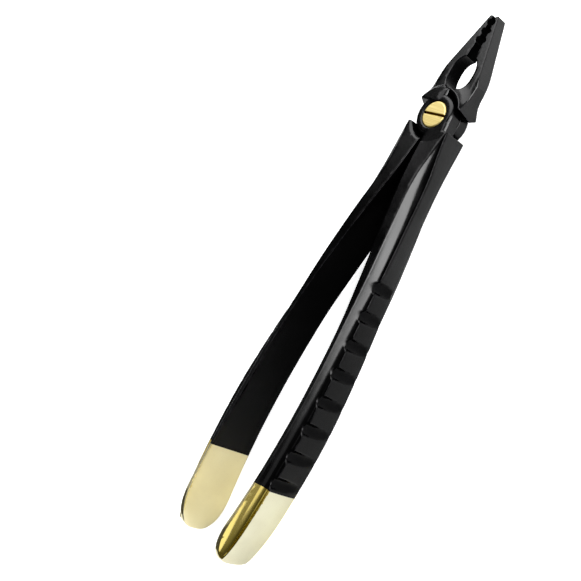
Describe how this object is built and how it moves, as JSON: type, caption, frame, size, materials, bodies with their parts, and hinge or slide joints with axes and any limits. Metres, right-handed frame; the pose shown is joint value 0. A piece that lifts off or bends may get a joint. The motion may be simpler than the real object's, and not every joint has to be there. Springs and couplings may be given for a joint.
{
  "type": "extraction forceps",
  "caption": "Straight extraction forceps: grooved beaks around an open throat, a screw lap joint, and bowed fluted handles with finger notches and gold-plated ends.",
  "frame": {"origin": "on the pivot axis, in the plane of the flat back face of the lap joint", "axes": "+Z along the pivot axis towards the slotted screw head, +Y towards the beak tips, +X towards the handle of the front half"},
  "size_m": [0.034, 0.1749, 0.0172],
  "materials": {
    "black_coating": "satin black hard coating on steel",
    "gold_screw": "fine brushed gold plating on steel",
    "gold_plating": "polished pale gold plating on steel"
  },
  "bodies": {
    "rear_body": {"rear_half": "black_coating", "pivot_screw": "gold_screw", "rear_half_gold_end": "gold_plating"},
    "front_body": {"front_half": "black_coating", "front_half_gold_end": "gold_plating"}
  },
  "joints": [
    {"name": "pivot", "type": "hinge", "parent": "rear_body", "child": "front_body", "pos_m": [0, 0, 0.00439], "axis": [0, 0, 1], "range_deg": [-1.9, 30]}
  ]
}
